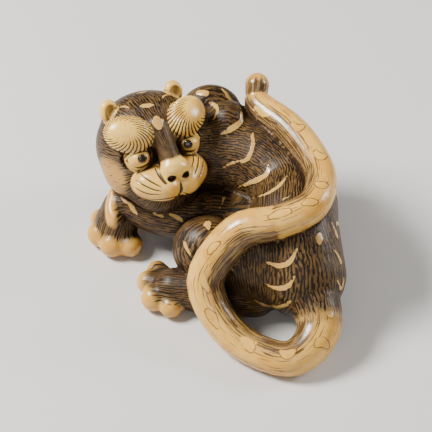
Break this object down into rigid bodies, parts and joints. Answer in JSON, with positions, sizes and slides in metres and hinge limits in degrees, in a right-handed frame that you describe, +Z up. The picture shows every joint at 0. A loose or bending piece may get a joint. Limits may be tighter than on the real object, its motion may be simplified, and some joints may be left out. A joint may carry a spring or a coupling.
{
  "type": "netsuke",
  "caption": "Carved ivory netsuke of a crouching tiger looking back, its tail looped in front and over its hip, with inlaid dark pupils.",
  "frame": {"origin": "on the ground under the middle of the figure's box", "axes": "+Z up; the head is at -X and looks towards -Y, the rump is at +X, and the tail's loop is in front at -Y"},
  "size_m": [0.038, 0.0432, 0.0242],
  "materials": {
    "ivory": "polished ivory, stained brown in fine engraved hair, cream on the stripes, paws, face and tail",
    "horn": "polished dark horn"
  },
  "bodies": {
    "root": {"tiger": "ivory", "left_pupil": "horn", "right_pupil": "horn"}
  },
  "joints": []
}
